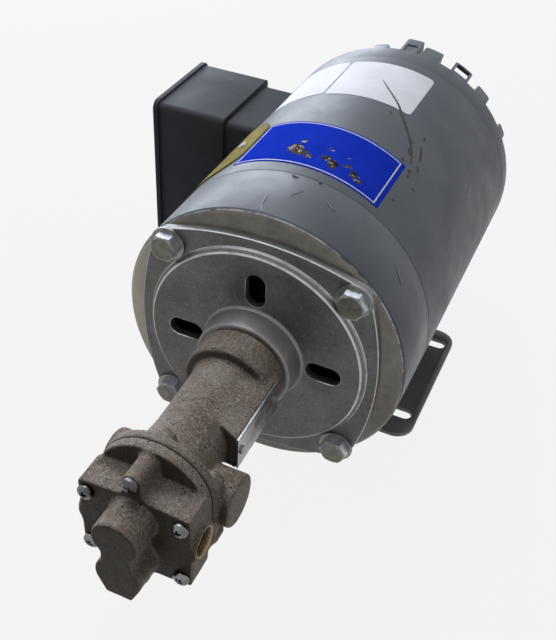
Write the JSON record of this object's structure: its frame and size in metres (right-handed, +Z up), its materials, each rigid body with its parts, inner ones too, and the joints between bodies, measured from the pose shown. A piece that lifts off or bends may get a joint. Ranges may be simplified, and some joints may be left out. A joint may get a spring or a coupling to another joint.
{
  "type": "gear pump",
  "caption": "External gear pump with a bronze body, close-coupled by an adapter flange to a foot-mounted electric motor with a conduit box.",
  "frame": {"origin": "on the base plane, at the centre of the four foot slots", "axes": "+Z up, the shaft along Y with the pump at -Y, the conduit box at -X"},
  "size_m": [0.2273, 0.395, 0.1723],
  "materials": {
    "motor_paint": "satin dark blue-grey paint, scratched",
    "bell_metal": "painted skirt with a bare machined face",
    "foot_paint": "dark paint",
    "zinc_steel": "zinc-plated steel",
    "yellow_zinc": "yellowish zinc-plated steel",
    "bearing_steel": "ground bearing steel",
    "cage_brass": "pressed cage",
    "shaft_steel": "ground steel",
    "lamination": "stacked steel sheet",
    "cage_aluminium": "die cast",
    "copper_winding": "varnished copper wire",
    "gold_plate": "gold-yellow plate",
    "box_paint": "satin black",
    "phenolic": "moulded board",
    "adapter_aluminium": "cast and turned",
    "cast_bronze": "dark cast bronze, sandy",
    "bare_plate": "bare plate",
    "gasket_paper": "gasket sheet",
    "gear_bronze": "machined bronze",
    "ceramic": "ceramic seal face",
    "carbon": "carbon seal face",
    "spring_steel": "stainless spring steel"
  },
  "bodies": {
    "root": {"motor_shell": "motor_paint", "front_end_bell": "bell_metal", "rear_end_bell": "motor_paint", "through_bolts": "zinc_steel", "foot_plate": "foot_paint", "front_bearing_outer": "bearing_steel", "rear_bearing_outer": "bearing_steel", "wave_washer": "shaft_steel", "stator_core": "lamination", "stator_windings": "copper_winding", "motor_nameplate": "gold_plate", "motor_nameplate_rivets": "gold_plate", "conduit_box": "box_paint", "conduit_box_cover": "box_paint", "box_cover_screws": "zinc_steel", "box_screws": "zinc_steel", "terminal_board": "phenolic", "adapter_flange": "adapter_aluminium", "adapter_washers": "zinc_steel", "adapter_bolts": "yellow_zinc", "pump_body": "cast_bronze", "pump_nameplate": "bare_plate", "pump_nameplate_rivets": "bare_plate", "pump_cover": "cast_bronze", "cover_gasket": "gasket_paper", "cover_screws": "zinc_steel", "inboard_bushes": "gear_bronze", "outboard_bushes": "gear_bronze", "seal_seat": "ceramic"},
    "rotor": {"motor_shaft": "shaft_steel", "shaft_key": "shaft_steel", "rotor_core": "lamination", "rotor_cage": "cage_aluminium", "shaft_coupling": "shaft_steel", "coupling_set_screws": "shaft_steel", "pump_shaft": "shaft_steel", "drive_gear_key": "shaft_steel", "drive_gear": "gear_bronze", "front_bearing_inner": "bearing_steel", "rear_bearing_inner": "bearing_steel", "seal_head": "carbon", "seal_spring": "spring_steel", "seal_retainer": "spring_steel"},
    "idler": {"idler_gear": "gear_bronze", "idler_shaft": "shaft_steel"},
    "front_ball_set": {"front_bearing_balls": "bearing_steel", "front_bearing_cage": "cage_brass"},
    "rear_ball_set": {"rear_bearing_balls": "bearing_steel", "rear_bearing_cage": "cage_brass"}
  },
  "joints": [
    {"name": "rotor_spin", "type": "hinge", "parent": "root", "child": "rotor", "pos_m": [0, 0, 0.0889], "axis": [0, -1, 0], "continuous": true},
    {"name": "idler_spin", "type": "hinge", "parent": "root", "child": "idler", "pos_m": [0, 0, 0.0635], "axis": [0, -1, 0], "continuous": true},
    {"name": "front_cage_spin", "type": "hinge", "parent": "root", "child": "front_ball_set", "pos_m": [0, 0, 0.0889], "axis": [0, -1, 0], "continuous": true},
    {"name": "rear_cage_spin", "type": "hinge", "parent": "root", "child": "rear_ball_set", "pos_m": [0, 0, 0.0889], "axis": [0, -1, 0], "continuous": true}
  ],
  "couplings": [
    {"joint": "idler_spin", "follows": "rotor_spin", "ratio": -1},
    {"joint": "front_cage_spin", "follows": "rotor_spin", "ratio": 0.382},
    {"joint": "rear_cage_spin", "follows": "rotor_spin", "ratio": 0.382}
  ]
}
